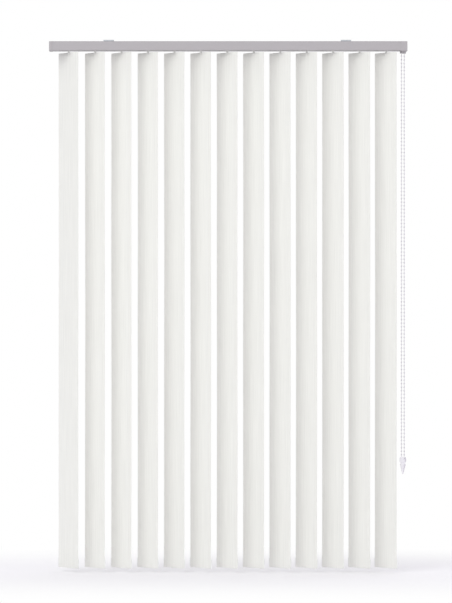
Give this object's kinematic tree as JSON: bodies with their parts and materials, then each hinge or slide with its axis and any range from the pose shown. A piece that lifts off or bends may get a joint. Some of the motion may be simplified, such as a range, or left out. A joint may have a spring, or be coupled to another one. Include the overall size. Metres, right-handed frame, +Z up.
{
  "type": "vertical blind",
  "caption": "Vertical window blind: a ceiling-fixed head rail with sliding carriers that hang narrow fabric slats, turned together by a bead chain.",
  "frame": {"origin": "on the ceiling plane, half way between the two bracket screws", "axes": "+X along the rail towards the control chain, -Y to the room, +Z up"},
  "size_m": [1.055, 0.0696, 1.557],
  "materials": {
    "rail_aluminium": "satin powder coat",
    "bracket_steel": "zinc plated, pressed",
    "cap_plastic": "moulded, fine grain",
    "rod_aluminium": "mill finish extrusion",
    "moving_plastic": "moulded acetal",
    "chain_plastic": "moulded beads",
    "weight_plastic": "moulded",
    "slat_fabric": "stiffened plain weave",
    "hanger_plastic": "moulded"
  },
  "bodies": {
    "head": {"head_rail": "rail_aluminium", "mounting_brackets": "bracket_steel", "idler_end_cap": "cap_plastic", "control_housing": "cap_plastic", "control_chain": "chain_plastic", "chain_weight": "weight_plastic", "carrier_01": "moving_plastic"},
    "tilt_drive": {"tilt_rod": "rod_aluminium", "chain_wheel": "moving_plastic"},
    "louvre_01": {"slat_01": "slat_fabric", "hanger_01": "hanger_plastic", "hook_stem_01": "moving_plastic"},
    "carriage_02": {"carrier_02": "moving_plastic"},
    "louvre_02": {"slat_02": "slat_fabric", "hanger_02": "hanger_plastic", "hook_stem_02": "moving_plastic"},
    "carriage_03": {"carrier_03": "moving_plastic"},
    "louvre_03": {"slat_03": "slat_fabric", "hanger_03": "hanger_plastic", "hook_stem_03": "moving_plastic"},
    "carriage_04": {"carrier_04": "moving_plastic"},
    "louvre_04": {"slat_04": "slat_fabric", "hanger_04": "hanger_plastic", "hook_stem_04": "moving_plastic"},
    "carriage_05": {"carrier_05": "moving_plastic"},
    "louvre_05": {"slat_05": "slat_fabric", "hanger_05": "hanger_plastic", "hook_stem_05": "moving_plastic"},
    "carriage_06": {"carrier_06": "moving_plastic"},
    "louvre_06": {"slat_06": "slat_fabric", "hanger_06": "hanger_plastic", "hook_stem_06": "moving_plastic"},
    "carriage_07": {"carrier_07": "moving_plastic"},
    "louvre_07": {"slat_07": "slat_fabric", "hanger_07": "hanger_plastic", "hook_stem_07": "moving_plastic"},
    "carriage_08": {"carrier_08": "moving_plastic"},
    "louvre_08": {"slat_08": "slat_fabric", "hanger_08": "hanger_plastic", "hook_stem_08": "moving_plastic"},
    "carriage_09": {"carrier_09": "moving_plastic"},
    "louvre_09": {"slat_09": "slat_fabric", "hanger_09": "hanger_plastic", "hook_stem_09": "moving_plastic"},
    "carriage_10": {"carrier_10": "moving_plastic"},
    "louvre_10": {"slat_10": "slat_fabric", "hanger_10": "hanger_plastic", "hook_stem_10": "moving_plastic"},
    "carriage_11": {"carrier_11": "moving_plastic"},
    "louvre_11": {"slat_11": "slat_fabric", "hanger_11": "hanger_plastic", "hook_stem_11": "moving_plastic"},
    "carriage_12": {"carrier_12": "moving_plastic"},
    "louvre_12": {"slat_12": "slat_fabric", "hanger_12": "hanger_plastic", "hook_stem_12": "moving_plastic"},
    "carriage_13": {"carrier_13": "moving_plastic"},
    "louvre_13": {"slat_13": "slat_fabric", "hanger_13": "hanger_plastic", "hook_stem_13": "moving_plastic"}
  },
  "joints": [
    {"name": "traverse_02", "type": "slide", "parent": "head", "child": "carriage_02", "axis": [-1, 0, 0], "range_m": [0, 0.058]},
    {"name": "traverse_03", "type": "slide", "parent": "head", "child": "carriage_03", "axis": [-1, 0, 0], "range_m": [0, 0.116]},
    {"name": "traverse_04", "type": "slide", "parent": "head", "child": "carriage_04", "axis": [-1, 0, 0], "range_m": [0, 0.174]},
    {"name": "traverse_05", "type": "slide", "parent": "head", "child": "carriage_05", "axis": [-1, 0, 0], "range_m": [0, 0.232]},
    {"name": "traverse_06", "type": "slide", "parent": "head", "child": "carriage_06", "axis": [-1, 0, 0], "range_m": [0, 0.29]},
    {"name": "traverse_07", "type": "slide", "parent": "head", "child": "carriage_07", "axis": [-1, 0, 0], "range_m": [0, 0.348]},
    {"name": "traverse_08", "type": "slide", "parent": "head", "child": "carriage_08", "axis": [-1, 0, 0], "range_m": [0, 0.406]},
    {"name": "traverse_09", "type": "slide", "parent": "head", "child": "carriage_09", "axis": [-1, 0, 0], "range_m": [0, 0.464]},
    {"name": "traverse_10", "type": "slide", "parent": "head", "child": "carriage_10", "axis": [-1, 0, 0], "range_m": [0, 0.522]},
    {"name": "traverse_11", "type": "slide", "parent": "head", "child": "carriage_11", "axis": [-1, 0, 0], "range_m": [0, 0.58]},
    {"name": "traverse_12", "type": "slide", "parent": "head", "child": "carriage_12", "axis": [-1, 0, 0], "range_m": [0, 0.638]},
    {"name": "traverse_13", "type": "slide", "parent": "head", "child": "carriage_13", "axis": [-1, 0, 0], "range_m": [0, 0.696]},
    {"name": "tilt_01", "type": "hinge", "parent": "head", "child": "louvre_01", "pos_m": [-0.468, 0, -0.037], "axis": [0, 0, 1], "range_deg": [-118, 32]},
    {"name": "tilt_02", "type": "hinge", "parent": "carriage_02", "child": "louvre_02", "pos_m": [-0.39, 0, -0.037], "axis": [0, 0, 1], "range_deg": [-118, 32]},
    {"name": "tilt_03", "type": "hinge", "parent": "carriage_03", "child": "louvre_03", "pos_m": [-0.312, 0, -0.037], "axis": [0, 0, 1], "range_deg": [-118, 32]},
    {"name": "tilt_04", "type": "hinge", "parent": "carriage_04", "child": "louvre_04", "pos_m": [-0.234, 0, -0.037], "axis": [0, 0, 1], "range_deg": [-118, 32]},
    {"name": "tilt_05", "type": "hinge", "parent": "carriage_05", "child": "louvre_05", "pos_m": [-0.156, 0, -0.037], "axis": [0, 0, 1], "range_deg": [-118, 32]},
    {"name": "tilt_06", "type": "hinge", "parent": "carriage_06", "child": "louvre_06", "pos_m": [-0.078, 0, -0.037], "axis": [0, 0, 1], "range_deg": [-118, 32]},
    {"name": "tilt_07", "type": "hinge", "parent": "carriage_07", "child": "louvre_07", "pos_m": [0, 0, -0.037], "axis": [0, 0, 1], "range_deg": [-118, 32]},
    {"name": "tilt_08", "type": "hinge", "parent": "carriage_08", "child": "louvre_08", "pos_m": [0.078, 0, -0.037], "axis": [0, 0, 1], "range_deg": [-118, 32]},
    {"name": "tilt_09", "type": "hinge", "parent": "carriage_09", "child": "louvre_09", "pos_m": [0.156, 0, -0.037], "axis": [0, 0, 1], "range_deg": [-118, 32]},
    {"name": "tilt_10", "type": "hinge", "parent": "carriage_10", "child": "louvre_10", "pos_m": [0.234, 0, -0.037], "axis": [0, 0, 1], "range_deg": [-118, 32]},
    {"name": "tilt_11", "type": "hinge", "parent": "carriage_11", "child": "louvre_11", "pos_m": [0.312, 0, -0.037], "axis": [0, 0, 1], "range_deg": [-118, 32]},
    {"name": "tilt_12", "type": "hinge", "parent": "carriage_12", "child": "louvre_12", "pos_m": [0.39, 0, -0.037], "axis": [0, 0, 1], "range_deg": [-118, 32]},
    {"name": "tilt_13", "type": "hinge", "parent": "carriage_13", "child": "louvre_13", "pos_m": [0.468, 0, -0.037], "axis": [0, 0, 1], "range_deg": [-118, 32]},
    {"name": "rod_spin", "type": "hinge", "parent": "head", "child": "tilt_drive", "pos_m": [0, 0.0065, -0.017], "axis": [1, 0, 0], "range_deg": [-1180, 320]}
  ],
  "couplings": [
    {"joint": "traverse_02", "follows": "traverse_13", "ratio": 0.083333},
    {"joint": "traverse_03", "follows": "traverse_13", "ratio": 0.16667},
    {"joint": "traverse_04", "follows": "traverse_13", "ratio": 0.25},
    {"joint": "traverse_05", "follows": "traverse_13", "ratio": 0.33333},
    {"joint": "traverse_06", "follows": "traverse_13", "ratio": 0.41667},
    {"joint": "traverse_07", "follows": "traverse_13", "ratio": 0.5},
    {"joint": "traverse_08", "follows": "traverse_13", "ratio": 0.58333},
    {"joint": "traverse_09", "follows": "traverse_13", "ratio": 0.66667},
    {"joint": "traverse_10", "follows": "traverse_13", "ratio": 0.75},
    {"joint": "traverse_11", "follows": "traverse_13", "ratio": 0.83333},
    {"joint": "traverse_12", "follows": "traverse_13", "ratio": 0.91667},
    {"joint": "tilt_02", "follows": "tilt_01", "ratio": 1},
    {"joint": "tilt_03", "follows": "tilt_01", "ratio": 1},
    {"joint": "tilt_04", "follows": "tilt_01", "ratio": 1},
    {"joint": "tilt_05", "follows": "tilt_01", "ratio": 1},
    {"joint": "tilt_06", "follows": "tilt_01", "ratio": 1},
    {"joint": "tilt_07", "follows": "tilt_01", "ratio": 1},
    {"joint": "tilt_08", "follows": "tilt_01", "ratio": 1},
    {"joint": "tilt_09", "follows": "tilt_01", "ratio": 1},
    {"joint": "tilt_10", "follows": "tilt_01", "ratio": 1},
    {"joint": "tilt_11", "follows": "tilt_01", "ratio": 1},
    {"joint": "tilt_12", "follows": "tilt_01", "ratio": 1},
    {"joint": "tilt_13", "follows": "tilt_01", "ratio": 1},
    {"joint": "rod_spin", "follows": "tilt_01", "ratio": 10}
  ]
}
